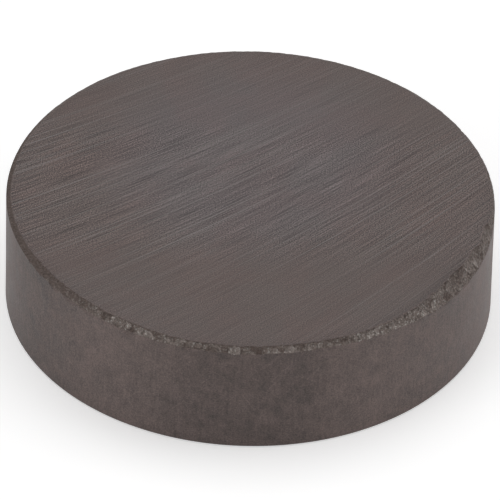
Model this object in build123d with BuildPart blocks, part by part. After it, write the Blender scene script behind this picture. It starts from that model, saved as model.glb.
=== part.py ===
from build123d import *
import os
from math import asin, cos, degrees, radians, sin, sqrt, tan

# Sintered ferrite disc magnet, one solid pressed and fired blank with ground faces.
# Origin: centre of the lower face. +Z: the disc's axis, towards the face with the wide edge break.
# Millimetres and degrees. Azimuths turn from +X towards +Y.

# The fired and ground blank
DIAMETER = 20.0
THICKNESS = 5.0

# Fine round where the side wall meets the lower face
FOOT_ROUND = 0.07

# Shallow bevel that the punch leaves around the upper face
BEVEL_WIDTH = 0.40
BEVEL_DEPTH = 0.07
BEVEL_ROUND = 0.06

# Second, steeper break that leans, so that it bites one side of the rim only
BREAK_AZIMUTH = -23.0
BREAK_DEPTH = 0.58
BREAK_HALF_SPAN = 50.0
BREAK_SLOPE = 50.0

# Rim chips: azimuth, width along the rim, bite into the edge, distance in from the side wall
CHIPS = (
    (-135.5, 0.72, 0.045, 0.14),
    (-129.0, 0.60, 0.040, 0.08),
    (-124.0, 0.95, 0.055, 0.20),
    (-119.5, 0.60, 0.045, 0.06),
    (-115.5, 0.80, 0.050, 0.16),
    (-109.5, 0.62, 0.040, 0.10),
    (-97.0, 0.80, 0.040, 0.14),
    (-83.0, 0.66, 0.040, 0.06),
    (-72.5, 0.84, 0.050, 0.12),
    (-68.0, 0.58, 0.045, 0.04),
    (-62.8, 0.70, 0.070, 0.02),
    (-59.2, 0.56, 0.065, 0.00),
    (-51.5, 1.10, 0.085, 0.14),
    (-46.5, 0.84, 0.080, 0.04),
    (-42.5, 0.74, 0.070, 0.16),
    (-37.6, 0.96, 0.080, 0.02),
    (-32.0, 0.80, 0.065, 0.18),
    (-27.5, 0.64, 0.055, 0.06),
    (-23.5, 0.78, 0.065, 0.16),
    (-19.5, 0.60, 0.055, 0.04),
    (-12.5, 0.66, 0.050, 0.12),
)
CHIP_LIFT = 40.0

RADIUS = DIAMETER / 2
TOOL_OVERSHOOT = 1.0

# The leaning break sinks from the bevel's depth, at both ends of its span, to its own depth midway
BREAK_SWING = (BREAK_DEPTH - BEVEL_DEPTH) / (1 - cos(radians(BREAK_HALF_SPAN)))
BREAK_MEAN = BREAK_DEPTH - BREAK_SWING
BREAK_LEAN = degrees(asin(BREAK_SWING / RADIUS))


def rim_drop(azimuth, inset):
    """Depth of the rim's surface below the upper face, at a distance in from the side wall."""
    bevel = BEVEL_DEPTH * (1 - inset / BEVEL_WIDTH)
    lean = BREAK_MEAN + BREAK_SWING * cos(radians(azimuth - BREAK_AZIMUTH))
    return max(0.0, bevel, lean - inset * tan(radians(BREAK_SLOPE)))


def chip_ball(azimuth, width, bite, inset):
    """Centre and radius of the ball whose cap is one shell-shaped chip."""
    ball = (width**2 / 4 + bite**2) / (2 * bite)
    out = RADIUS - inset + (ball - bite) * cos(radians(CHIP_LIFT))
    up = THICKNESS - rim_drop(azimuth, inset) + (ball - bite) * sin(radians(CHIP_LIFT))
    spoke = radians(azimuth)
    return Vector(out * cos(spoke), out * sin(spoke), up), ball


heading = Vector(1, 0, 0).rotate(Axis.Z, BREAK_AZIMUTH)
hinge = Axis((0, 0, 0), Vector(0, 0, 1).cross(heading))
break_axis = Axis((0, 0, THICKNESS), Vector(0, 0, 1).rotate(hinge, BREAK_LEAN))
break_spoke = heading.rotate(hinge, BREAK_LEAN)
break_plane = Plane(
    origin=(0, 0, THICKNESS),
    x_dir=break_spoke,
    z_dir=break_spoke.cross(break_axis.direction),
)

with BuildPart() as magnet_disc:
    # Blank: half section with the bevel above and the fine round below
    with BuildSketch(Plane.XZ):
        with BuildLine():
            Polyline(
                (0, 0),
                (RADIUS, 0),
                (RADIUS, THICKNESS - BEVEL_DEPTH),
                (RADIUS - BEVEL_WIDTH, THICKNESS),
                (0, THICKNESS),
                close=True,
            )
        make_face()
        outer = vertices().group_by(Axis.X)[-1].sort_by(Axis.Z)
        fillet(outer[0], radius=FOOT_ROUND)
        fillet(outer[-1], radius=BEVEL_ROUND)
    revolve(axis=Axis.Z)

    # Leaning break: a three-cornered ring about a tilted axis
    rise = TOOL_OVERSHOOT * tan(radians(BREAK_SLOPE))
    with BuildSketch(break_plane):
        with BuildLine():
            Polyline(
                (RADIUS - TOOL_OVERSHOOT, rise - BREAK_MEAN),
                (RADIUS + TOOL_OVERSHOOT, -rise - BREAK_MEAN),
                (RADIUS + TOOL_OVERSHOOT, rise - BREAK_MEAN),
                close=True,
            )
        make_face()
    revolve(axis=break_axis, mode=Mode.SUBTRACT)

    # Chips: the cap of a ball set into the rim for each
    for chip in CHIPS:
        centre, ball_radius = chip_ball(*chip)
        with Locations(centre):
            Sphere(ball_radius, mode=Mode.SUBTRACT)

magnet_disc.part.label = "magnet_disc"

os.makedirs("parts", exist_ok=True)
export_step(magnet_disc.part, "parts/magnet_disc.step")
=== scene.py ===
"""Looks of the sintered ferrite disc magnet: its ground faces, pressed wall and worn, chipped rim."""

import logging
import math
import random
from dataclasses import dataclass, fields, replace
from enum import Enum

import bpy
from mathutils import Matrix, Vector


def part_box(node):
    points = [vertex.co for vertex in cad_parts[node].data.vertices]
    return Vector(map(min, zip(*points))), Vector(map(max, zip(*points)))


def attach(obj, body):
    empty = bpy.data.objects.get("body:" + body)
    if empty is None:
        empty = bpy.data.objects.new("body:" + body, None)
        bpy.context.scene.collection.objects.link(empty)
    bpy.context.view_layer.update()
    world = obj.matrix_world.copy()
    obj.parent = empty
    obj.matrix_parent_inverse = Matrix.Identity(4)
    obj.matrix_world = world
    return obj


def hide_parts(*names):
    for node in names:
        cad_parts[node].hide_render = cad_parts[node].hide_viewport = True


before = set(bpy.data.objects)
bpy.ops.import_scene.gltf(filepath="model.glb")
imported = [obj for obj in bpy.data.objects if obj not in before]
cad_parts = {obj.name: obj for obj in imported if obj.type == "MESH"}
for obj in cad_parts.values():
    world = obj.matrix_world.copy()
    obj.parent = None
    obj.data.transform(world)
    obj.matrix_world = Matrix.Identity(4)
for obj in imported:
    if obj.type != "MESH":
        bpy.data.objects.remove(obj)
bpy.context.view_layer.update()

log = logging.getLogger("disc_magnet")

MM = 0.001
PER_MM = 1000.0
NODE = "magnet_disc"
BODY = "root"

# The worn edge's numbers that the skin carries, each with the unit that it is written in; one of them is
# how much painted shade lies beside the edge
EDGE_NUMBERS = {"inward": MM, "down": MM, "crumbled": 1.0, "painted_shade": 1.0, "bared": 1.0}

Numbers = tuple[float, ...]
Socket = bpy.types.NodeSocket


class Zone(Enum):
    """The three surfaces of the magnet, by how each was made."""

    GROUND = "ground_face"
    PRESSED = "pressed_wall"
    BROKEN = "broken_rim"


class Wiring:
    """A node tree under construction, with one short call for each kind of node that it needs."""

    def __init__(self, tree: bpy.types.NodeTree) -> None:
        """Takes the shader or geometry node tree that the calls add to."""
        self.tree = tree

    def node(self, kind: str, **settings: object) -> bpy.types.Node:
        """Adds one node.

        Args:
            kind: The node's type name.
            **settings: Properties to set on it.

        Returns:
            The new node.
        """
        made = self.tree.nodes.new(kind)
        for name, value in settings.items():
            setattr(made, name, value)
        return made

    def feed(self, socket: Socket, source: object) -> None:
        """Links a socket to another one, or writes a plain value into it.

        Args:
            socket: The input socket.
            source: An output socket, a number, a tuple or a data-block.
        """
        if isinstance(source, Socket):
            self.tree.links.new(source, socket)
        else:
            socket.default_value = source

    def call(self, kind: str, *given: object, **settings: object) -> Socket:
        """Adds one node and feeds its inputs in their order.

        Args:
            kind: The node's type name.
            *given: What goes into its first inputs, apart from those that its settings switch off.
            **settings: Properties to set on it.

        Returns:
            Its first output that is in use.
        """
        made = self.node(kind, **settings)
        for socket, source in zip([s for s in made.inputs if s.enabled], given):
            self.feed(socket, source)
        return next(s for s in made.outputs if s.enabled)

    def math(self, operation: str, *values: object, clamp: bool = False) -> Socket:
        """Works out a Math node's operation."""
        return self.call("ShaderNodeMath", *values, operation=operation, use_clamp=clamp)

    def plus(self, first: object, second: object) -> Socket:
        """Adds two numbers."""
        return self.math("ADD", first, second)

    def less(self, first: object, second: object) -> Socket:
        """Takes the second number from the first."""
        return self.math("SUBTRACT", first, second)

    def times(self, first: object, second: object) -> Socket:
        """Multiplies two numbers."""
        return self.math("MULTIPLY", first, second)

    def layer(self, pattern: object, strength: object, base: object) -> Socket:
        """Adds a pattern, times its strength, to a base."""
        return self.math("MULTIPLY_ADD", pattern, strength, base)

    def vector(self, operation: str, *values: object) -> Socket:
        """Works out a Vector Math node's operation."""
        return self.call("ShaderNodeVectorMath", *values, operation=operation)

    def scaled(self, vector: object, factor: object) -> Socket:
        """Multiplies a vector by a number."""
        return self.vector("SCALE", vector, factor)

    def split(self, vector: object) -> tuple[Socket, ...]:
        """Gives a vector's x, y and z."""
        return tuple(self.call("ShaderNodeSeparateXYZ", vector).node.outputs)

    def join(self, x: object, y: object, z: object) -> Socket:
        """Makes a vector of x, y and z."""
        return self.call("ShaderNodeCombineXYZ", x, y, z)

    def noise(self, at: object, scale: float, detail: float, roughness: float, seed: float) -> Socket:
        """Adds a noise that is even about one half.

        Args:
            at: The point that it is read at.
            scale: Features to the unit of that point.
            detail: How many finer octaves are added.
            roughness: How strong each finer octave is.
            seed: The fourth coordinate, so that two noises of one scale differ.

        Returns:
            The noise's value, from 0 to 1.
        """
        return self.call("ShaderNodeTexNoise", at, seed, scale, detail, roughness, noise_dimensions="4D")

    def attribute(self, name: str) -> Socket:
        """Reads a named number of the surface."""
        return self.node("ShaderNodeAttribute", attribute_name=name).outputs["Fac"]

    def centred(self, value: object) -> Socket:
        """Takes one half off a noise, so that it is even about zero."""
        return self.less(value, 0.5)

    def span(
        self, value: object, low: object, high: object, to_low: object = 0.0, to_high: object = 1.0
    ) -> Socket:
        """Maps a value from one range to another along a smooth step.

        Args:
            value: The value that is mapped.
            low: Where the step starts.
            high: Where the step ends.
            to_low: The result below the step.
            to_high: The result above the step.

        Returns:
            The mapped value.
        """
        given = (value, low, high, to_low, to_high)
        return self.call("ShaderNodeMapRange", *given, interpolation_type="SMOOTHSTEP")

    def blend(self, share: object, first: object, second: object) -> Socket:
        """Mixes two colours."""
        return self.call("ShaderNodeMix", share, first, second, data_type="RGBA")


class GeometryWiring(Wiring):
    """A geometry node tree, with named inputs and the few geometry nodes that the magnet needs."""

    def __init__(self, name: str) -> None:
        """Makes a tree with a geometry output and, so far, no input.

        Args:
            name: The tree's name.
        """
        super().__init__(bpy.data.node_groups.new(name, "GeometryNodeTree"))
        self.tree.interface.new_socket("Geometry", in_out="OUTPUT", socket_type="NodeSocketGeometry")
        self.given = self.node("NodeGroupInput")
        self.result = self.node("NodeGroupOutput")

    def input(self, name: str, kind: str) -> Socket:
        """Adds a named input to the tree and returns the socket that gives its value."""
        self.tree.interface.new_socket(name, in_out="INPUT", socket_type=f"NodeSocket{kind}")
        return self.given.outputs[name]

    def attribute(self, name: str) -> Socket:
        """Reads a named number of each point."""
        return self.call("GeometryNodeInputNamedAttribute", name, data_type="FLOAT")

    def store(self, geometry: object, name: str, value: object) -> Socket:
        """Writes a named number on each point and returns the geometry."""
        given = (geometry, True, name, value)
        return self.call("GeometryNodeStoreNamedAttribute", *given, data_type="FLOAT", domain="POINT")

    def sample(self, geometry: object, value: object, index: object, kind: str = "FLOAT") -> Socket:
        """Reads a value of another geometry's point.

        Args:
            geometry: The geometry that is read.
            value: The field that is read on it.
            index: The point's index.
            kind: FLOAT or FLOAT_VECTOR.

        Returns:
            The value.
        """
        return self.call("GeometryNodeSampleIndex", geometry, value, index, data_type=kind, domain="POINT")

    def move(self, geometry: object, position: object) -> Socket:
        """Sets the points' positions and returns the geometry."""
        return self.call("GeometryNodeSetPosition", geometry, True, position)

    def position(self) -> Socket:
        """Reads each point's position."""
        return self.call("GeometryNodeInputPosition")

    def compare(self, first: object, operation: str, second: object) -> Socket:
        """Compares two numbers and returns the truth of it."""
        return self.call("FunctionNodeCompare", first, second, data_type="FLOAT", operation=operation)

    def material(self, geometry: object, selection: object, material: object) -> Socket:
        """Sets the material of the selected faces and returns the geometry."""
        return self.call("GeometryNodeSetMaterial", geometry, selection, material)

    def points(self, holder: object) -> tuple[Socket, Socket]:
        """Reads an object's points.

        Args:
            holder: The object.

        Returns:
            Its geometry and how many points it has.
        """
        source = self.call("GeometryNodeObjectInfo", holder, transform_space="ORIGINAL").node
        geometry = source.outputs["Geometry"]
        return geometry, self.call("GeometryNodeAttributeDomainSize", geometry, component="MESH")

    def made(self, name: str, given: dict[str, object]) -> bpy.types.Object:
        """Runs the tree once and keeps its result as a plain mesh.

        Args:
            name: The object's name.
            given: The value of each named input.

        Returns:
            The object, at the origin, with no modifier left.
        """
        piece = linked(name, bpy.data.meshes.new(name))
        modifier = piece.modifiers.new(name, "NODES")
        modifier.node_group = self.tree
        for item in self.tree.interface.items_tree:
            if item.in_out == "INPUT":
                modifier[item.identifier] = given[item.name]
        view = bpy.context.evaluated_depsgraph_get()
        mesh = bpy.data.meshes.new_from_object(piece.evaluated_get(view))
        piece.modifiers.remove(modifier)
        piece.data = mesh
        mesh.name = name
        return piece


def linked(name: str, data: bpy.types.ID) -> bpy.types.Object:
    """Makes an object and links it to the scene.

    Args:
        name: The object's name.
        data: Its mesh, lamp or camera.

    Returns:
        The object.
    """
    made = bpy.data.objects.new(name, data)
    bpy.context.scene.collection.objects.link(made)
    return made


def loose_points(name: str, places: list, numbers: dict[str, list[float]]) -> bpy.types.Object:
    """Makes an object of loose points for a geometry tree to read. It isn't linked to the scene.

    Args:
        name: The object's name.
        places: The points.
        numbers: For each number that the points carry, its name and its value at each point.

    Returns:
        The object.
    """
    mesh = bpy.data.meshes.new(name)
    mesh.from_pydata(places, [], [])
    for key, values in numbers.items():
        mesh.attributes.new(key, "FLOAT", "POINT").data.foreach_set("value", values)
    return bpy.data.objects.new(name, mesh)


def cleared(owner: bpy.types.Material | bpy.types.World) -> Wiring:
    """Empties the node tree of a material or a world.

    Args:
        owner: The material or world.

    Returns:
        The wiring of its tree.
    """
    owner.use_nodes = True
    owner.node_tree.nodes.clear()
    return Wiring(owner.node_tree)


def rgba(colour: Numbers) -> Numbers:
    """Adds an opaque alpha to a colour."""
    return (*colour, 1.0)


@dataclass(frozen=True)
class Station:
    """The worn edge at one azimuth, in degrees and millimetres.

    Inward and down say how far the edge is worn off the face and off the wall. Crumbled says how rough
    it is. The next one says how dark the face beside it and the inner part of the band are painted, as
    painted shade. Bared says how much of it shows freshly broken crystals, which are paler and also carry
    painted highlights. These three run from 0 to 1.
    """

    azimuth: float
    inward: float
    down: float
    crumbled: float
    # how dark the face beside the edge and the band's inner part are painted, as painted shade
    painted_shade: float
    bared: float


@dataclass(frozen=True)
class WornEdge:
    """The upper edge all round: the punch's shallow bevel, and the deeper break at the right front.

    Lengths are in metres, apart from those of the stations. Crowding says how much closer together the
    skin's steps lie about the crowded azimuth, where the rim is broken most.
    """

    radius: float
    thickness: float
    crowding: float = 0.35
    crowded_azimuth: float = -70.0
    stations: tuple[Station, ...] = (
        Station(-180.0, 0.20, 0.03, 0.00, 0.35, 0.10),
        Station(-170.0, 0.23, 0.03, 0.00, 0.30, 0.10),
        Station(-160.0, 0.30, 0.03, 0.02, 0.20, 0.05),
        Station(-150.0, 0.38, 0.04, 0.04, 0.20, 0.10),
        Station(-140.0, 0.42, 0.06, 0.10, 0.25, 0.35),
        Station(-130.0, 0.42, 0.10, 0.35, 0.20, 0.50),
        Station(-120.0, 0.40, 0.14, 0.50, 0.10, 0.85),
        Station(-110.0, 0.32, 0.17, 0.45, 0.10, 0.60),
        Station(-100.0, 0.30, 0.20, 0.20, 0.20, 0.62),
        Station(-90.0, 0.28, 0.21, 0.12, 0.25, 0.62),
        Station(-80.0, 0.30, 0.18, 0.20, 0.20, 0.68),
        Station(-70.0, 0.28, 0.19, 0.35, 0.35, 0.50),
        Station(-62.0, 0.24, 0.27, 0.75, 0.50, 0.75),
        Station(-52.0, 0.22, 0.35, 1.00, 0.70, 0.90),
        Station(-46.0, 0.26, 0.42, 1.00, 0.80, 0.95),
        Station(-40.0, 0.38, 0.53, 1.00, 0.95, 0.65),
        Station(-30.0, 0.50, 0.57, 0.95, 1.00, 0.35),
        Station(-22.0, 0.34, 0.59, 0.75, 0.80, 0.50),
        Station(-14.0, 0.23, 0.59, 0.30, 0.45, 0.40),
        Station(-9.0, 0.17, 0.55, 0.15, 0.35, 0.35),
        Station(-4.0, 0.10, 0.36, 0.10, 0.30, 0.30),
        Station(1.0, 0.07, 0.19, 0.08, 0.20, 0.20),
        Station(12.0, 0.08, 0.16, 0.04, 0.10, 0.15),
        Station(26.0, 0.13, 0.16, 0.03, 0.00, 0.10),
        Station(50.0, 0.18, 0.14, 0.01, 0.00, 0.00),
        Station(110.0, 0.17, 0.13, 0.00, 0.15, 0.00),
        Station(135.0, 0.14, 0.09, 0.00, 0.45, 0.00),
        Station(160.0, 0.13, 0.05, 0.00, 0.40, 0.00),
    )

    def at(self, azimuth: float) -> Station:
        """Reads the edge between two stations, along a smooth step.

        Args:
            azimuth: Where on the rim.

        Returns:
            The edge there.
        """
        turned = (azimuth + 180.0) % 360.0 - 180.0
        last = replace(self.stations[0], azimuth=self.stations[0].azimuth + 360.0)
        row = [*self.stations, last]
        before = max(i for i, station in enumerate(row) if station.azimuth <= turned)
        low, high = row[before], row[before + 1]
        share = (turned - low.azimuth) / (high.azimuth - low.azimuth)
        share = share * share * (3 - 2 * share)

        def mixed(name: str) -> float:
            """Mixes one of the two stations' numbers."""
            return getattr(low, name) * (1 - share) + getattr(high, name) * share

        names = [field.name for field in fields(Station) if field.name != "azimuth"]
        return Station(turned, *(mixed(name) for name in names))

    def drop(self, azimuth: float, inset: float) -> float:
        """Finds how far the worn edge lies below the face.

        Args:
            azimuth: Where on the rim.
            inset: The distance in from the side wall, in millimetres.

        Returns:
            The drop, in metres.
        """
        here = self.at(azimuth)
        return here.down * max(0.0, 1 - inset / here.inward) * MM

    def ring(self, steps: int) -> bpy.types.Object:
        """Makes a ring of points, closer together where the rim is broken, that carry the edge's numbers.

        Args:
            steps: How many points go round.

        Returns:
            An object of points on a circle of radius 1.
        """
        middle = math.radians(self.crowded_azimuth)
        angles = []
        for i in range(steps):
            turned = 2 * math.pi * i / steps
            angles.append(middle + turned - self.crowding * math.sin(turned))
        places = [self.at(math.degrees(a)) for a in angles]
        numbers = {
            name: [getattr(place, name) * unit for place in places] for name, unit in EDGE_NUMBERS.items()
        }
        return loose_points("rim_ring", [(math.cos(a), math.sin(a), 0.0) for a in angles], numbers)


@dataclass(frozen=True)
class Chip:
    """One shell-shaped chip in the rim: its azimuth in degrees, and its sizes in millimetres.

    Pale says how light its fresh surface is, from 0 to 1. That lightness is partly the paler broken ferrite
    and partly painted highlight.
    """

    azimuth: float
    width: float
    bite: float
    inset: float
    pale: float
    lift: float = 40.0
    twist: float = 0.0

    @property
    def ball(self) -> float:
        """Radius of the ball whose cap is the chip, in metres."""
        return (self.width**2 / 4 + self.bite**2) / (2 * self.bite) * MM


@dataclass
class RimChips:
    """Every chip of the rim: large ones and pale flecks listed one by one, and fine crumbling between them
    by chance.

    The fine ones are drawn between a lowest and a highest value, in the units of Chip. A fleck is given
    by its azimuth, width, inset and paleness, and its bite is a share of its width.
    """

    edge: WornEdge
    seed: int = 11
    count: int = 420
    least: float = 0.002
    widths: Numbers = (0.10, 0.34)
    bite_shares: Numbers = (0.05, 0.11)
    inset_spread: Numbers = (1.2, 1.8)
    pales: Numbers = (0.0, 0.0, 0.3, 0.8)
    pale_gain: float = 1.4
    lifts: Numbers = (15.0, 65.0)
    twists: Numbers = (-25.0, 25.0)
    fleck_bite: float = 0.12
    large: tuple[Chip, ...] = (
        Chip(-135.5, 0.72, 0.045, 0.14, 0.10),
        Chip(-129.0, 0.60, 0.040, 0.20, 0.25),
        Chip(-124.5, 0.80, 0.055, 0.14, 0.30),
        Chip(-119.0, 0.60, 0.045, 0.16, 0.30),
        Chip(-114.5, 0.80, 0.060, 0.12, 0.40),
        Chip(-109.5, 0.62, 0.045, 0.08, 0.25),
        Chip(-97.0, 0.80, 0.045, 0.04, 0.20),
        Chip(-83.0, 0.66, 0.045, 0.00, 0.30),
        Chip(-72.5, 0.84, 0.050, 0.02, 0.30),
        Chip(-68.0, 0.58, 0.045, 0.00, 0.30),
        Chip(-62.8, 0.70, 0.070, 0.02, 0.50),
        Chip(-59.2, 0.56, 0.065, 0.00, 0.50),
        Chip(-51.5, 1.10, 0.085, 0.14, 0.40),
        Chip(-46.5, 0.84, 0.080, 0.04, 0.40),
        Chip(-42.5, 0.74, 0.070, 0.16, 0.35),
        Chip(-37.6, 0.96, 0.080, 0.02, 0.35),
        Chip(-32.0, 0.80, 0.065, 0.18, 0.35),
        Chip(-27.5, 0.64, 0.055, 0.06, 0.20),
        Chip(-23.5, 0.78, 0.065, 0.16, 0.40),
        Chip(-19.5, 0.60, 0.055, 0.04, 0.20),
        Chip(-12.5, 0.66, 0.050, 0.12, 0.20),
    )
    # pale flecks: partly paler broken ferrite, partly painted highlight
    flecks: tuple[Numbers, ...] = (
        (-128.0, 0.22, 0.20, 0.47), (-125.0, 0.32, 0.20, 0.62), (-121.6, 0.34, 0.24, 0.51),
        (-119.2, 0.26, 0.16, 0.47), (-116.4, 0.24, 0.14, 0.43), (-114.2, 0.36, 0.18, 0.74),
        (-109.2, 0.30, 0.16, 0.58), (-105.5, 0.20, 0.16, 0.35), (-97.0, 0.22, 0.08, 0.50),
        (-83.5, 0.30, 0.06, 0.65), (-79.0, 0.20, 0.10, 0.45), (-72.5, 0.26, 0.08, 0.60),
        (-67.4, 0.20, 0.08, 0.50), (-63.2, 0.30, 0.05, 0.90), (-61.9, 0.22, 0.10, 0.70),
        (-60.0, 0.34, 0.05, 1.00), (-57.5, 0.20, 0.10, 0.55), (-53.8, 0.26, 0.09, 0.60),
        (-51.5, 0.30, 0.09, 0.75), (-50.2, 0.24, 0.18, 0.80), (-48.0, 0.26, 0.05, 0.90),
        (-46.8, 0.28, 0.06, 0.95), (-47.0, 0.22, 0.16, 0.60), (-44.0, 0.32, 0.06, 1.00),
        (-44.0, 0.20, 0.24, 0.55), (-42.5, 0.30, 0.15, 0.70), (-38.2, 0.28, 0.08, 0.85),
        (-37.2, 0.20, 0.29, 0.55), (-36.0, 0.22, 0.13, 0.65), (-34.0, 0.22, 0.27, 0.50),
        (-27.5, 0.22, 0.16, 0.55), (-24.8, 0.28, 0.24, 0.70), (-23.2, 0.24, 0.28, 0.65),
        (-20.5, 0.30, 0.09, 1.00), (-17.0, 0.18, 0.14, 0.55), (-15.0, 0.18, 0.10, 0.50),
        (-13.2, 0.24, 0.17, 0.75), (-11.0, 0.16, 0.06, 0.50), (-7.8, 0.22, 0.13, 0.70),
        (-2.5, 0.16, 0.04, 0.50),
    )

    def small(self) -> list[Chip]:
        """Draws the fine chips, thick where the rim is crumbled and thin elsewhere.

        Returns:
            The chips.
        """
        draw = random.Random(self.seed)
        chips = []
        while len(chips) < self.count:
            azimuth = draw.uniform(-180.0, 180.0)
            here = self.edge.at(azimuth)
            if draw.random() > max(here.crumbled, self.least):
                continue
            width = draw.uniform(*self.widths)
            chips.append(
                Chip(
                    azimuth=azimuth,
                    width=width,
                    bite=width * draw.uniform(*self.bite_shares),
                    inset=draw.betavariate(*self.inset_spread) * here.inward,
                    pale=draw.choice(self.pales) * min(1.0, here.bared * self.pale_gain),
                    lift=draw.uniform(*self.lifts),
                    twist=draw.uniform(*self.twists),
                )
            )
        return chips

    def place(self, chip: Chip) -> Vector:
        """Centre of a chip's ball.

        Args:
            chip: The chip.

        Returns:
            The point in metres, in the frame.
        """
        back_off = chip.ball - chip.bite * MM
        spoke = math.radians(chip.azimuth)
        facing = math.radians(chip.azimuth + chip.twist)
        lift = math.radians(chip.lift)
        seat = Vector((math.cos(spoke), math.sin(spoke), 0)) * (self.edge.radius - chip.inset * MM)
        seat.z = self.edge.thickness - self.edge.drop(chip.azimuth, chip.inset)
        out = Vector((math.cos(facing) * math.cos(lift), math.sin(facing) * math.cos(lift), math.sin(lift)))
        return seat + out * back_off

    def points(self) -> bpy.types.Object:
        """Puts a point at each ball's centre, which carries the ball's radius and the chip's paleness.

        Returns:
            The object of points, in the order in which the chips are cut.
        """
        flecks = [
            Chip(azimuth, width, round(width * self.fleck_bite, 3), inset, pale)
            for azimuth, width, inset, pale in self.flecks
        ]
        chips = [*self.large, *self.small(), *flecks]
        numbers = {name: [getattr(chip, name) for chip in chips] for name in ("ball", "pale")}
        return loose_points("chip_balls", [self.place(chip) for chip in chips], numbers)


@dataclass
class MagnetDisc:
    """The magnet: one skin turned from a half section, then broken, chipped, roughened and ground flat.

    Lengths are in metres and angles in degrees. The radius and the thickness come from the frame. Noises
    and spans are given as Wiring takes them, with the noises' scales to the millimetre. A pair is what
    crumbling adds, and what is always there.
    """

    radius: float
    thickness: float
    foot_round: float = 0.07 * MM
    steps_around: int = 1360
    coarse_margin: float = 0.95 * MM
    coarse_step: float = 0.060 * MM
    fine_margin: float = 0.56 * MM
    fine_wall: float = 0.68 * MM
    fine_step: float = 0.034 * MM
    widest_step: float = 0.40 * MM
    step_growth: float = 1.3
    foot_points: int = 4
    weld: float = 0.0005 * MM
    ragged: Numbers = (3.2, 3.0, 0.6, 4.0)
    ragged_reach: Numbers = (0.14 * MM, 0.10 * MM)
    # where the painted shade on the face beside the worn edge fades in
    painted_shade_span: Numbers = (-0.70 * MM, -0.02 * MM)
    band_blur: float = 0.004 * MM
    pale_margin: float = 0.035 * MM
    pale_blur: float = 0.012 * MM
    grain: Numbers = (5.5, 3.0, 0.65, 1.0)
    grit: Numbers = (19.0, 1.0, 0.5, 2.0)
    grit_share: float = 0.8
    grain_height: Numbers = (0.036 * MM, 0.010 * MM)
    flake_scale: float = 7.0
    flake_tilt: float = 0.20 * MM
    wave: Numbers = (0.7, 1.0, 0.5, 3.0)
    wave_height: float = 0.012 * MM
    sharp_edge: float = 24.0
    flush: float = 0.0001 * MM

    def __post_init__(self) -> None:
        """Sets up the worn edge and the chips on this disc's rim."""
        self.edge = WornEdge(self.radius, self.thickness)
        self.chips = RimChips(self.edge)

    def half_section(self) -> bpy.types.Object:
        """Makes the line of points from the middle of the upper face, out and down to the lower one.

        The points lie closest together where the upper edge will be worn.

        Returns:
            An object of points in the XZ plane.
        """
        top = self.thickness
        rows = [(0.0, top), (self.radius / 2, top)]
        for start, end, step in (
            (self.coarse_margin, self.fine_margin, self.coarse_step),
            (self.fine_margin, 0.0, self.fine_step),
        ):
            count = round((start - end) / step)
            rows += [(self.radius - start + (start - end) * i / count, top) for i in range(count)]
        rows.append((self.radius, top))
        z = top
        step = self.fine_step
        while z - step > self.foot_round:
            z -= step
            rows.append((self.radius, z))
            if z < top - self.fine_wall:
                step = min(step * self.step_growth, self.widest_step)
        for i in range(self.foot_points + 1):
            turned = math.pi / 2 * i / self.foot_points
            rows.append(
                (
                    self.radius - self.foot_round * (1 - math.cos(turned)),
                    self.foot_round * (1 - math.sin(turned)),
                )
            )
        rows += [(self.radius / 2, 0.0), (0.0, 0.0)]
        return loose_points("half_section", [(r, 0.0, z) for r, z in rows], {})

    def turned(self, g: GeometryWiring, section: object, ring: object) -> Socket:
        """Turns the half section about the axis into a closed skin, one step for each point of the ring.

        Args:
            g: The tree.
            section: The half section's object.
            ring: The ring's object.

        Returns:
            The skin's geometry, with the edge's numbers as attributes.
        """
        line, count = g.points(section)
        circle, steps = g.points(ring)
        index = g.call("GeometryNodeInputIndex")
        around = g.math("FLOOR", g.math("DIVIDE", g.plus(index, 0.5), count))
        along = g.less(index, g.times(around, count))
        around = g.math("FLOORED_MODULO", around, steps)
        r, _, z = g.split(g.sample(line, g.position(), along, "FLOAT_VECTOR"))
        spoke = g.sample(circle, g.position(), around, "FLOAT_VECTOR")
        skin = g.call("GeometryNodeMeshGrid", 1.0, 1.0, g.plus(steps, 1.0), count)
        for name in EDGE_NUMBERS:
            skin = g.store(skin, name, g.sample(circle, g.attribute(name), around))
        skin = g.move(skin, g.vector("ADD", g.scaled(spoke, r), g.join(0.0, 0.0, z)))
        return g.call("GeometryNodeMergeByDistance", skin, True, self.weld)

    def broken(self, g: GeometryWiring, skin: object) -> Socket:
        """Sinks the skin onto the worn edge's slope wherever it stands outside it.

        Args:
            g: The tree.
            skin: The turned skin.

        Returns:
            The skin with the worn edge. Its attribute band is 1 on that edge, and the attribute of painted
            shade is highest on the face beside it, as far as the station there asks for painted shade.
        """
        here = g.position()
        x, y, z = g.split(here)
        flat = g.join(x, y, 0.0)
        inward = g.attribute("inward")
        down = g.attribute("down")
        slope = g.math("SQRT", g.layer(inward, inward, g.times(down, down)))
        steepness = g.math("DIVIDE", down, slope)
        flatness = g.math("DIVIDE", inward, slope)
        past = g.plus(g.less(g.vector("LENGTH", flat), self.radius), inward)
        ragged = g.centred(g.noise(g.scaled(here, PER_MM), *self.ragged))
        reach = g.layer(g.attribute("crumbled"), *self.ragged_reach)
        edge = g.layer(ragged, reach, past)
        # Painted shade: the face just inside the worn edge is darkened in colour
        skin = g.store(skin, "painted_edge_shade", g.times(g.span(edge, *self.painted_shade_span), g.attribute("painted_shade")))
        above = g.times(g.less(z, self.thickness), flatness)
        proud = g.math("MAXIMUM", g.plus(g.times(edge, steepness), above), 0.0)
        facing = g.scaled(g.vector("NORMALIZE", flat), steepness)
        facing = g.vector("ADD", facing, g.join(0.0, 0.0, flatness))
        skin = g.store(skin, "band", g.span(proud, 0.0, self.band_blur))
        return g.move(skin, g.vector("SUBTRACT", here, g.scaled(facing, proud)))

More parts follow.
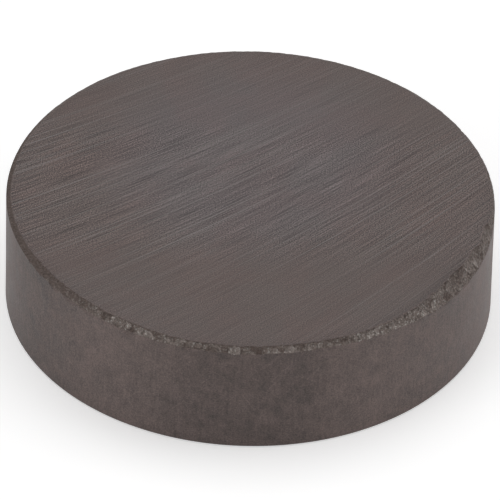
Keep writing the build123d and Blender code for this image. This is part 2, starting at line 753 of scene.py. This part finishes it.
    def chipped(self, g: GeometryWiring, skin: object, balls: object) -> Socket:
        """Pushes the skin out of each chip's ball, one ball after another.

        Args:
            g: The tree.
            skin: The skin.
            balls: The object whose points are the balls' centres.

        Returns:
            The chipped skin. Its attribute fresh is the paleness of the last chip that cut it, which
            for a pale chip reaches a little beyond the ball.
        """
        cloud, count = g.points(balls)
        start = g.node("GeometryNodeRepeatInput")
        end = g.node("GeometryNodeRepeatOutput")
        start.pair_with_output(end)
        g.feed(start.inputs["Iterations"], count)
        g.feed(start.inputs["Geometry"], g.store(skin, "fresh", 0.0))
        turn = start.outputs["Iteration"]
        centre = g.sample(cloud, g.position(), turn, "FLOAT_VECTOR")
        ball = g.sample(cloud, g.attribute("ball"), turn)
        arm = g.vector("SUBTRACT", g.position(), centre)
        reach = g.vector("LENGTH", arm)
        away = g.scaled(g.vector("NORMALIZE", arm), g.math("MAXIMUM", reach, ball))
        pale = g.sample(cloud, g.attribute("pale"), turn)
        beside = g.times(g.times(pale, pale), -self.pale_margin)
        share = g.span(g.less(ball, reach), beside, g.plus(beside, self.pale_blur))
        fresh = g.attribute("fresh")
        step = g.store(start.outputs["Geometry"], "fresh", g.layer(g.less(pale, fresh), share, fresh))
        g.feed(end.inputs["Geometry"], g.move(step, g.vector("ADD", centre, away)))
        return end.outputs["Geometry"]

    def roughened(self, g: GeometryWiring, skin: object) -> Socket:
        """Gives the band its grains and flat little fractures, and the wall its faint unevenness.

        Args:
            g: The tree.
            skin: The chipped skin.

        Returns:
            The rough skin. Its attribute across is 0 at the face's level and 1 where the wall begins.
        """
        here = g.position()
        sunk = g.less(self.thickness, g.split(here)[2])
        skin = g.store(skin, "across", g.math("DIVIDE", sunk, g.attribute("down")))
        at = g.scaled(here, PER_MM)
        crumbled = g.attribute("crumbled")
        grit = g.centred(g.noise(at, *self.grit))
        grain = g.layer(grit, self.grit_share, g.centred(g.noise(at, *self.grain)))
        cells = g.call("ShaderNodeTexVoronoi", at, self.flake_scale, feature="F1").node
        tilt = g.vector("SUBTRACT", cells.outputs["Color"], (0.5, 0.5, 0.5))
        facet = g.vector("DOT_PRODUCT", g.vector("SUBTRACT", at, cells.outputs["Position"]), tilt)
        coarse = g.times(grain, g.layer(crumbled, *self.grain_height))
        relief = g.plus(coarse, g.times(facet, g.times(crumbled, self.flake_tilt)))
        normal = g.call("GeometryNodeInputNormal")
        upright = g.less(1.0, g.math("ABSOLUTE", g.split(normal)[2]))
        wave = g.times(g.centred(g.noise(at, *self.wave)), self.wave_height)
        raised = g.layer(relief, g.attribute("band"), g.times(wave, upright))
        return g.move(skin, g.vector("ADD", here, g.scaled(normal, raised)))

    def ground(self, g: GeometryWiring, skin: object) -> Socket:
        """Cuts off what stands proud of the two ground faces or of the die's bore.

        Args:
            g: The tree.
            skin: The rough skin.

        Returns:
            The skin inside the blank's own size.
        """
        x, y, z = g.split(g.position())
        level = g.math("MINIMUM", g.math("MAXIMUM", z, 0.0), self.thickness)
        flat = g.join(x, y, 0.0)
        reach = g.math("MAXIMUM", g.vector("LENGTH", flat), self.radius)
        spoke = g.scaled(flat, g.math("DIVIDE", self.radius, reach))
        return g.move(skin, g.vector("ADD", spoke, g.join(0.0, 0.0, level)))

    def faced(self, g: GeometryWiring, skin: object, finishes: dict[Zone, object]) -> Socket:
        """Smooths the skin up to its sharp edges and gives each zone its finish.

        Args:
            g: The tree.
            skin: The finished skin.
            finishes: The material of each zone.

        Returns:
            The dressed skin.
        """
        angle = g.call("GeometryNodeInputMeshEdgeAngle")
        sharp = g.compare(angle, "GREATER_THAN", math.radians(self.sharp_edge))
        skin = g.call("GeometryNodeSetShadeSmooth", skin, sharp, False, domain="EDGE")
        z = g.split(g.position())[2]
        off_top = g.math("ABSOLUTE", g.less(z, self.thickness))
        off_face = g.math("MINIMUM", g.math("ABSOLUTE", z), off_top)
        skin = g.material(skin, True, finishes[Zone.PRESSED])
        skin = g.material(skin, g.compare(g.attribute("band"), "GREATER_THAN", 0.5), finishes[Zone.BROKEN])
        return g.material(skin, g.compare(off_face, "LESS_THAN", self.flush), finishes[Zone.GROUND])

    def skin(self, finishes: dict[Zone, bpy.types.Material]) -> bpy.types.Object:
        """Makes the magnet's skin as a plain mesh.

        Args:
            finishes: The material of each zone.

        Returns:
            The closed mesh object, at the origin, with its faces outwards.
        """
        g = GeometryWiring("turned_disc")
        section = g.input("Half Section", "Object")
        balls = g.input("Chip Balls", "Object")
        ring = g.input("Rim Ring", "Object")
        surfaces = {zone: g.input(zone.value, "Material") for zone in Zone}
        skin = self.turned(g, section, ring)
        skin = self.broken(g, skin)
        skin = self.chipped(g, skin, balls)
        skin = self.ground(g, self.roughened(g, skin))
        # The turned grid's faces look inwards
        skin = g.call("GeometryNodeFlipFaces", skin)
        skin = g.call("GeometryNodeRealizeInstances", skin)
        g.feed(g.result.inputs[0], self.faced(g, skin, surfaces))
        given = {
            "Half Section": self.half_section(),
            "Chip Balls": self.chips.points(),
            "Rim Ring": self.edge.ring(self.steps_around),
            **{zone.value: finishes[zone] for zone in Zone},
        }
        return g.made("magnet_disc_skin", given)

    def dress(self, finishes: dict[Zone, bpy.types.Material]) -> bpy.types.Object:
        """Builds the skin and puts it in the place of the plain solid.

        Args:
            finishes: The material of each zone.

        Returns:
            The piece.
        """
        piece = self.skin(finishes)
        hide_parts(NODE)
        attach(piece, BODY)
        return piece


@dataclass(frozen=True)
class FerriteLook:
    """What all ferrite surfaces share: how a finish's colour, roughness and relief become a material."""

    specular: float
    ior: float = 1.5
    sheen: float = 0.0
    sheen_roughness: float = 0.3

    def build(
        self, name: str, w: Wiring, colour: object, roughness: object, height: object, depth: float
    ) -> None:
        """Wires colour, roughness and relief into one shader.

        Args:
            name: The finish's name.
            w: The material's wiring.
            colour: The base colour.
            roughness: The roughness.
            height: The relief, in parts of its depth.
            depth: What a relief of one stands for, in metres.
        """
        shader = w.node("ShaderNodeBsdfPrincipled", label=name)
        shader.inputs["IOR"].default_value = self.ior
        shader.inputs["Specular IOR Level"].default_value = self.specular
        shader.inputs["Sheen Weight"].default_value = self.sheen
        shader.inputs["Sheen Roughness"].default_value = self.sheen_roughness
        w.feed(shader.inputs["Base Color"], colour)
        w.feed(shader.inputs["Roughness"], roughness)
        bump = w.node("ShaderNodeBump")
        bump.inputs["Distance"].default_value = depth
        w.feed(bump.inputs["Height"], height)
        w.feed(shader.inputs["Normal"], bump.outputs[0])
        out = w.node("ShaderNodeOutputMaterial")
        w.feed(out.inputs["Surface"], shader.outputs[0])


def ferrite_material(name: str) -> tuple[bpy.types.Material, Wiring, Socket]:
    """Makes a material with nothing wired yet.

    Args:
        name: The material's name.

    Returns:
        The material, its wiring and the point on the magnet in millimetres.
    """
    material = bpy.data.materials.new(name)
    w = cleared(material)
    place = w.node("ShaderNodeTexCoord").outputs["Object"]
    return material, w, w.scaled(place, PER_MM)


@dataclass(frozen=True)
class GroundFinish:
    """A face ground flat by the rim of a cup wheel that passes over it and leaves long, fine arcs.

    Lengths are in millimetres and angles in degrees. Lines are given by how many lie on a millimetre
    across and along the arcs, their detail and seed, and scratches and furrows also by the two levels
    between which they come up. Noises and spans are given as Wiring takes them, and the tones say how
    strongly each pattern shows. Hues and tints each hold the two colours that are mixed; the hues are
    the face's own and that of a painted sheen, paler and bluer, about its middle.
    """

    colour: Numbers = (0.111, 0.0865, 0.0815)
    scratch_colour: Numbers = (0.200, 0.180, 0.174)
    # painted sheen: the face's own hue, then the paler, bluer hue painted about its middle
    painted_sheen_hues: tuple[Numbers, Numbers] = ((1.02, 0.985, 0.965), (1.00, 1.040, 1.100))
    tints: tuple[Numbers, Numbers] = ((0.980, 1.008, 1.012), (1.020, 0.992, 0.988))
    # centre and fading span of the painted sheen about the face's middle
    painted_sheen_middle: Numbers = (0.0, 2.5, 5.0)
    painted_sheen_span: Numbers = (3.5, 8.0, 1.0, 0.0)
    belt_middle: float = 0.4
    belt_span: Numbers = (2.8, 5.4, 1.30, 0.50)
    wheel_radius: float = 122.0
    wheel_centre: float = 108.0
    feed_azimuth: float = 67.0
    line_roughness: float = 0.6
    hair: Numbers = (15.0, 0.40, 1.0, 1.0)
    broad: Numbers = (5.0, 0.12, 1.0, 2.0)
    scratch: Numbers = (10.0, 0.050, 0.0, 3.0, 0.60, 0.74)
    long_scratch: Numbers = (8.5, 0.030, 0.0, 4.0, 0.66, 0.74)
    furrow: Numbers = (10.0, 0.06, 0.0, 5.0, 0.34, 0.24)
    grit: Numbers = (20.0, 1.0, 0.6, 6.0)
    cloud: Numbers = (0.32, 2.0, 0.5, 7.0)
    tint: Numbers = (0.42, 3.0, 0.5, 8.0)
    tint_span: Numbers = (0.38, 0.62)
    base_tone: float = 0.97
    hair_tone: float = 2.45
    hair_break: float = 3.5
    broad_tone: float = 0.20
    grit_tones: Numbers = (3.2, 0.6)
    cloud_tone: float = 0.16
    furrow_tone: float = -0.09
    # how much the painted shade beside the worn edge darkens the face
    painted_edge_shade_tone: float = -0.26
    # how much paler the painted sheen makes the face's middle
    painted_sheen_tone: float = 0.09
    scratch_share: float = 0.55
    scratch_height: float = 0.3
    roughness_span: Numbers = (-0.2, 0.2, 0.44, 0.58)
    relief: float = 0.012 * MM
    look: FerriteLook = FerriteLook(specular=0.28)

    def arcs(self, w: Wiring, at: object) -> tuple[Socket, Socket]:
        """Finds a point's place among the wheel's arcs.

        Args:
            w: The material's wiring.
            at: The point, in millimetres.

        Returns:
            Which arc the point is on, and how far along it, both in millimetres.
        """
        feed = math.radians(self.feed_azimuth)
        across = (math.sin(feed), -math.cos(feed), 0.0)
        onward = (math.cos(feed), math.sin(feed), 0.0)
        u = w.plus(w.vector("DOT_PRODUCT", at, across), self.wheel_centre)
        chord = w.math("SQRT", w.less(self.wheel_radius**2, w.times(u, u)))
        arc = w.plus(w.vector("DOT_PRODUCT", at, onward), chord)
        turned = w.math("ARCSINE", w.math("DIVIDE", u, self.wheel_radius))
        return arc, w.times(turned, self.wheel_radius)

    def material(self) -> bpy.types.Material:
        """Builds the finish.

        Returns:
            The material.
        """
        material, w, at = ferrite_material("ground_ferrite")
        arc, length = self.arcs(w, at)
        _, y, z = w.split(at)

        def lines(across: float, along: float, detail: float, seed: float) -> Socket:
            """Draws noise stretched along the arcs."""
            point = w.join(w.times(arc, across), w.times(length, along), z)
            return w.noise(point, 1.0, detail, self.line_roughness, seed)

        def marks(*given: float) -> Socket:
            """Draws the lines that come up between two levels."""
            return w.span(lines(*given[:4]), *given[4:])

        hair = w.centred(lines(*self.hair))
        scratch = w.plus(marks(*self.scratch), marks(*self.long_scratch))
        furrow = marks(*self.furrow)
        grit = w.centred(w.noise(at, *self.grit))
        cloud = w.centred(w.noise(at, *self.cloud))
        firm = w.span(w.math("ABSOLUTE", w.less(y, self.belt_middle)), *self.belt_span)
        pull = w.times(w.layer(grit, self.hair_break, 1.0), firm)
        # Painted sheen: the face is painted paler and bluer about its middle
        away = w.vector("LENGTH", w.vector("SUBTRACT", at, self.painted_sheen_middle))
        painted_sheen = w.span(away, *self.painted_sheen_span)
        tone = w.layer(w.times(hair, pull), self.hair_tone, self.base_tone)
        tone = w.layer(w.centred(lines(*self.broad)), w.times(firm, self.broad_tone), tone)
        tone = w.layer(grit, w.layer(firm, *self.grit_tones), tone)
        tone = w.layer(cloud, self.cloud_tone, tone)
        tone = w.layer(w.times(furrow, firm), self.furrow_tone, tone)
        # Painted shade on the face beside the worn edge
        tone = w.layer(w.attribute("painted_edge_shade"), self.painted_edge_shade_tone, tone)
        tone = w.layer(painted_sheen, self.painted_sheen_tone, tone)
        hue = w.blend(painted_sheen, *map(rgba, self.painted_sheen_hues))
        tint = w.span(w.noise(at, *self.tint), *self.tint_span)
        hue = w.vector("MULTIPLY", hue, w.blend(tint, *map(rgba, self.tints)))
        colour = w.vector("MULTIPLY", w.scaled(hue, tone), self.colour)
        bright = w.math("MULTIPLY", w.times(scratch, pull), self.scratch_share, clamp=True)
        colour = w.blend(bright, colour, rgba(self.scratch_colour))
        roughness = w.span(hair, *self.roughness_span)
        height = w.layer(w.less(scratch, furrow), self.scratch_height, hair)
        self.look.build("ground", w, colour, roughness, height, self.relief)
        return material


@dataclass(frozen=True)
class Patch:
    """A soft patch on the wall, paler or darker than the rest. Angles are in degrees."""

    azimuth: float
    half_width: float
    change: float


@dataclass(frozen=True)
class PressedFinish:
    """The die's wall as fired: matt and mottled, with faint marks from the die and from handling.

    Lengths are in millimetres and angles in degrees. Noises and spans are given as Wiring takes them,
    and the tones say how strongly each pattern shows. Drawn stretches the streaks, and rubbed says where
    the marks show.
    """

    radius: float
    colour: Numbers = (0.109, 0.0820, 0.0755)
    patches: tuple[Patch, ...] = (
        Patch(-158.0, 24.0, -0.26),
        Patch(-121.0, 16.0, 0.10),
        Patch(-90.0, 24.0, -0.17),
        Patch(-58.0, 18.0, 0.10),
        Patch(75.0, 30.0, -0.06),
        Patch(140.0, 24.0, 0.05),
    )
    drawn: Numbers = (1.0, 1.0, 0.16)
    streak: Numbers = (9.0, 2.0, 0.6, 1.0)
    streak_tone: float = 0.60
    streak_height: float = 0.6
    mottle: Numbers = (1.7, 3.0, 0.60, 2.0)
    mottle_tone: float = 1.3
    speck: Numbers = (16.0, 1.0, 0.6, 3.0)
    speck_tone: float = 1.5
    cloud: Numbers = (0.6, 2.0, 0.5, 4.0)
    cloud_tone: float = 0.45
    rubbed: Numbers = (0.45, 2.0, 0.5, 5.0)
    rubbed_span: Numbers = (0.42, 0.58)
    leans: Numbers = (34.0, -41.0, 62.0)
    mark_stretch: Numbers = (1.0, 1.0, 0.10)
    mark: Numbers = (7.0, 1.0, 0.5)
    mark_seed: int = 6
    mark_span: Numbers = (0.62, 0.74)
    mark_tone: float = 0.22
    roughness_span: Numbers = (-0.2, 0.2, 0.52, 0.66)
    relief: float = 0.008 * MM
    look: FerriteLook = FerriteLook(specular=0.36, sheen=0.05)

    def patched(self, w: Wiring, at: object) -> Socket:
        """Sums the soft patches.

        Args:
            w: The material's wiring.
            at: The point, in millimetres.

        Returns:
            The tone, which is 1 where no patch lies.
        """
        x, y, _ = w.split(at)
        tone = 1.0
        for patch in self.patches:
            spoke = math.radians(patch.azimuth)
            beside = w.layer(x, math.cos(spoke), w.times(y, math.sin(spoke)))
            edge = self.radius * math.cos(math.radians(patch.half_width))
            tone = w.layer(w.span(beside, edge, self.radius), patch.change, tone)
        return tone

    def leaning(self, w: Wiring, at: object, lean: float, seed: float) -> Socket:
        """Draws hairline marks that climb round the wall.

        Args:
            w: The material's wiring.
            at: The point, in millimetres.
            lean: The marks' angle from upright.
            seed: The marks' own seed.

        Returns:
            The marks, from 0 to 1.
        """
        turn = w.node("ShaderNodeVectorRotate", rotation_type="Z_AXIS")
        w.feed(turn.inputs["Vector"], at)
        climb = math.tan(math.radians(lean)) / self.radius
        w.feed(turn.inputs["Angle"], w.times(w.split(at)[2], climb))
        stretched = w.vector("MULTIPLY", turn.outputs[0], self.mark_stretch)
        return w.span(w.noise(stretched, *self.mark, seed), *self.mark_span)

    def material(self) -> bpy.types.Material:
        """Builds the finish.

        Returns:
            The material.
        """
        material, w, at = ferrite_material("pressed_ferrite")
        streak = w.centred(w.noise(w.vector("MULTIPLY", at, self.drawn), *self.streak))
        mottle = w.centred(w.noise(at, *self.mottle))
        speck = w.centred(w.noise(at, *self.speck))
        tone = w.layer(streak, self.streak_tone, self.patched(w, at))
        tone = w.layer(mottle, self.mottle_tone, tone)
        tone = w.layer(speck, self.speck_tone, tone)
        tone = w.layer(w.centred(w.noise(at, *self.cloud)), self.cloud_tone, tone)
        rubbed = w.span(w.noise(at, *self.rubbed), *self.rubbed_span)
        for seed, lean in enumerate(self.leans, start=self.mark_seed):
            tone = w.layer(w.times(self.leaning(w, at, lean, seed), rubbed), self.mark_tone, tone)
        colour = w.scaled(self.colour, tone)
        roughness = w.span(mottle, *self.roughness_span)
        height = w.layer(streak, self.streak_height, speck)
        self.look.build("pressed", w, colour, roughness, height, self.relief)
        return material


@dataclass(frozen=True)
class BrokenFinish:
    """The rim's rough band: dark grains, with paler broken crystals and painted glints on them.

    Lengths are in millimetres. Noises and spans are given as Wiring takes them. A pair is what a number
    of the edge or of a chip adds, and what is always there.
    """

    colour: Numbers = (0.085, 0.064, 0.056)
    # paler colour of freshly broken ferrite, lightened further as painted highlight
    fresh_and_lit_colour: Numbers = (0.215, 0.184, 0.168)
    # painted glint colour, standing for light glinting off broken crystals
    glint: Numbers = (0.50, 0.48, 0.45)
    grain: Numbers = (11.0, 3.0, 0.70, 1.0)
    lump: Numbers = (4.2, 2.0, 0.6, 2.0)
    spark: Numbers = (12.0, 1.0, 0.5, 3.0)
    outer_span: Numbers = (0.0, 0.38)
    open_span: Numbers = (0.64, 0.76)
    open_bared: float = 0.30
    open_share: float = 0.42
    fresh_outer: Numbers = (0.5, 0.5)
    grain_crumbled: Numbers = (0.8, 2.6)
    # painted shade on the band's inner part, next to the face
    painted_inner_shade_tone: float = -0.16
    lit_span: Numbers = (0.56, 0.68)
    lit_bared: Numbers = (0.7, 0.1)
    lit_fresh: Numbers = (0.8, 0.2)
    roughness_span: Numbers = (0.4, 0.7, 0.60, 0.36)
    relief: float = 0.014 * MM
    look: FerriteLook = FerriteLook(specular=0.12)

    def material(self) -> bpy.types.Material:
        """Builds the finish.

        Returns:
            The material.
        """
        material, w, at = ferrite_material("broken_ferrite")
        bared = w.attribute("bared")
        outer = w.span(w.attribute("across"), *self.outer_span)
        grain = w.centred(w.noise(at, *self.grain))
        spark = w.noise(at, *self.spark)
        # Paler broken crystals, partly their own colour and partly painted highlight: lumps on the band's
        # outer part, and the chips' fresh surfaces
        opened = w.span(w.layer(bared, self.open_bared, w.noise(at, *self.lump)), *self.open_span)
        loose = w.times(opened, w.times(outer, self.open_share))
        fresh = w.times(w.attribute("fresh"), w.layer(outer, *self.fresh_outer))
        bare = w.math("MAXIMUM", loose, fresh)
        tone = w.layer(grain, w.layer(w.attribute("crumbled"), *self.grain_crumbled), 1.0)
        # Painted shade: the band's inner part, next to the face, is darkened in colour
        painted_inner_shade = w.times(w.less(1.0, outer), w.attribute("painted_shade"))
        tone = w.layer(painted_inner_shade, self.painted_inner_shade_tone, tone)
        # Painted glints: bright specks in the colour stand for light glinting off broken crystals
        lit = w.times(w.span(spark, *self.lit_span), w.layer(bared, *self.lit_bared))
        lit = w.times(lit, w.layer(bare, *self.lit_fresh))
        base = w.blend(bare, rgba(self.colour), rgba(self.fresh_and_lit_colour))
        colour = w.blend(lit, w.scaled(base, tone), rgba(self.glint))
        roughness = w.span(spark, *self.roughness_span)
        height = w.plus(grain, spark)
        self.look.build("broken", w, colour, roughness, height, self.relief)
        return material


@dataclass(frozen=True)
class Studio:
    """The pale floor, the soft lamps and the camera at the photograph's angle. Lengths are in metres."""

    floor_size: float = 3.0
    floor_drop: float = 0.02 * MM
    floor_colour: Numbers = (0.93, 0.93, 0.93)
    floor_roughness: float = 0.9
    floor_specular: float = 0.1
    floor_glow: float = 0.35
    white: Numbers = (1.0, 1.0, 1.0)
    world_strength: float = 0.45
    elevation: float = 38.64
    distance: float = 0.396
    yaw: float = 0.0042
    pitch: float = 0.2518
    roll: float = 1.50
    focal_pixels: float = 9605.6
    image_pixels: float = 500.0
    sensor_width: float = 36.0
    clip_start: float = 0.01

    def camera(self) -> bpy.types.Object:
        """Places the camera where the photograph was taken from.

        Returns:
            The camera, which is also set as the scene's.
        """
        rise = math.radians(self.elevation)
        place = Vector((0.0, -math.cos(rise), math.sin(rise))) * self.distance
        ahead = -place.normalized()
        right = Vector((1.0, 0.0, 0.0))
        up = right.cross(ahead)

        def turn(first: Vector, second: Vector, degrees: float) -> tuple[Vector, Vector]:
            """Turns two axes in their own plane, the first towards the second."""
            angle = math.radians(degrees)
            return (
                first * math.cos(angle) + second * math.sin(angle),
                second * math.cos(angle) - first * math.sin(angle),
            )

        ahead, right = turn(ahead, right, self.yaw)
        ahead, up = turn(ahead, up, self.pitch)
        right, up = turn(right, up, self.roll)
        data = bpy.data.cameras.new("photo_camera")
        data.sensor_width = self.sensor_width
        data.lens = self.focal_pixels * self.sensor_width / self.image_pixels
        data.clip_start = self.clip_start
        camera = linked("photo_camera", data)
        basis = Matrix((right, up, -ahead)).transposed().to_4x4()
        camera.matrix_world = Matrix.Translation(place) @ basis
        bpy.context.scene.camera = camera
        return camera

    def lamp(self, name: str, at: Numbers, size: Numbers, watts: float) -> None:
        """Hangs one soft box that faces the magnet.

        Args:
            name: The lamp's name.
            at: Where it hangs, in metres.
            size: Its width and height.
            watts: Its power.
        """
        data = bpy.data.lights.new(name, "AREA")
        data.shape = "RECTANGLE"
        data.size, data.size_y = size
        data.energy = watts
        lamp = linked(name, data)
        lamp.location = at
        lamp.rotation_euler = (-Vector(at)).to_track_quat("-Z", "Y").to_euler()

    def white_to_camera(self, w: Wiring) -> Socket:
        """Tells the rays that see a white studio from those that light the magnet.

        Args:
            w: The wiring of the world or of the floor's material.

        Returns:
            1 for the rays that see it, and 0 for the others.
        """
        path = w.node("ShaderNodeLightPath")
        seen = w.math("MAXIMUM", path.outputs["Is Camera Ray"], path.outputs["Is Glossy Ray"])
        return w.math("MAXIMUM", seen, path.outputs["Is Transmission Ray"])

    def world(self) -> None:
        """Makes the surroundings: an even light, and white where the camera looks past the floor."""
        world = bpy.data.worlds.new("studio")
        w = cleared(world)
        back = w.node("ShaderNodeBackground")
        back.inputs["Color"].default_value = rgba(self.white)
        strength = w.span(self.white_to_camera(w), 0.0, 1.0, self.world_strength, 1.0)
        w.feed(back.inputs["Strength"], strength)
        out = w.node("ShaderNodeOutputWorld")
        w.feed(out.inputs["Surface"], back.outputs[0])
        bpy.context.scene.world = world

    def floor(self) -> None:
        """Lays the pale floor that the magnet rests on."""
        half = self.floor_size / 2
        mesh = bpy.data.meshes.new("floor")
        corners = [(-half, -half), (half, -half), (half, half), (-half, half)]
        mesh.from_pydata([(x, y, -self.floor_drop) for x, y in corners], [], [(0, 1, 2, 3)])
        floor = linked("floor", mesh)
        material = bpy.data.materials.new("pale_floor")
        w = cleared(material)
        shader = w.node("ShaderNodeBsdfPrincipled")
        shader.inputs["Base Color"].default_value = rgba(self.floor_colour)
        shader.inputs["Roughness"].default_value = self.floor_roughness
        shader.inputs["Specular IOR Level"].default_value = self.floor_specular
        shader.inputs["Emission Color"].default_value = rgba(self.white)
        glow = w.times(self.white_to_camera(w), self.floor_glow)
        w.feed(shader.inputs["Emission Strength"], glow)
        out = w.node("ShaderNodeOutputMaterial")
        w.feed(out.inputs["Surface"], shader.outputs[0])
        mesh.materials.append(material)

    def build(self) -> None:
        """Sets up the camera, the floor, the surroundings and the lamps."""
        self.camera()
        self.floor()
        self.world()
        self.lamp("top_box", (0.0, 0.12, 0.45), (0.45, 0.35), 0.60)
        self.lamp("front_left_box", (-0.34, -0.26, 0.14), (0.25, 0.20), 0.35)
        self.lamp("left_box", (-0.42, 0.02, 0.10), (0.30, 0.20), 0.08)
        self.lamp("right_box", (0.42, 0.02, 0.10), (0.30, 0.20), 0.44)
        bpy.context.scene.view_settings.view_transform = "Standard"


def main() -> None:
    """Builds the magnet and its studio, and reports each piece."""
    logging.basicConfig(level=logging.INFO, format="%(name)s: %(message)s")
    low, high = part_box(NODE)
    Studio().build()
    log.info("studio and camera are set")
    disc = MagnetDisc(radius=(high.x - low.x) / 2, thickness=high.z - low.z)
    finishes = {
        Zone.GROUND: GroundFinish().material(),
        Zone.PRESSED: PressedFinish(radius=disc.radius * PER_MM).material(),
        Zone.BROKEN: BrokenFinish().material(),
    }
    piece = disc.dress(finishes)
    log.info("%s: %d faces", piece.name, len(piece.data.polygons))


if __name__ == "__main__":
    main()
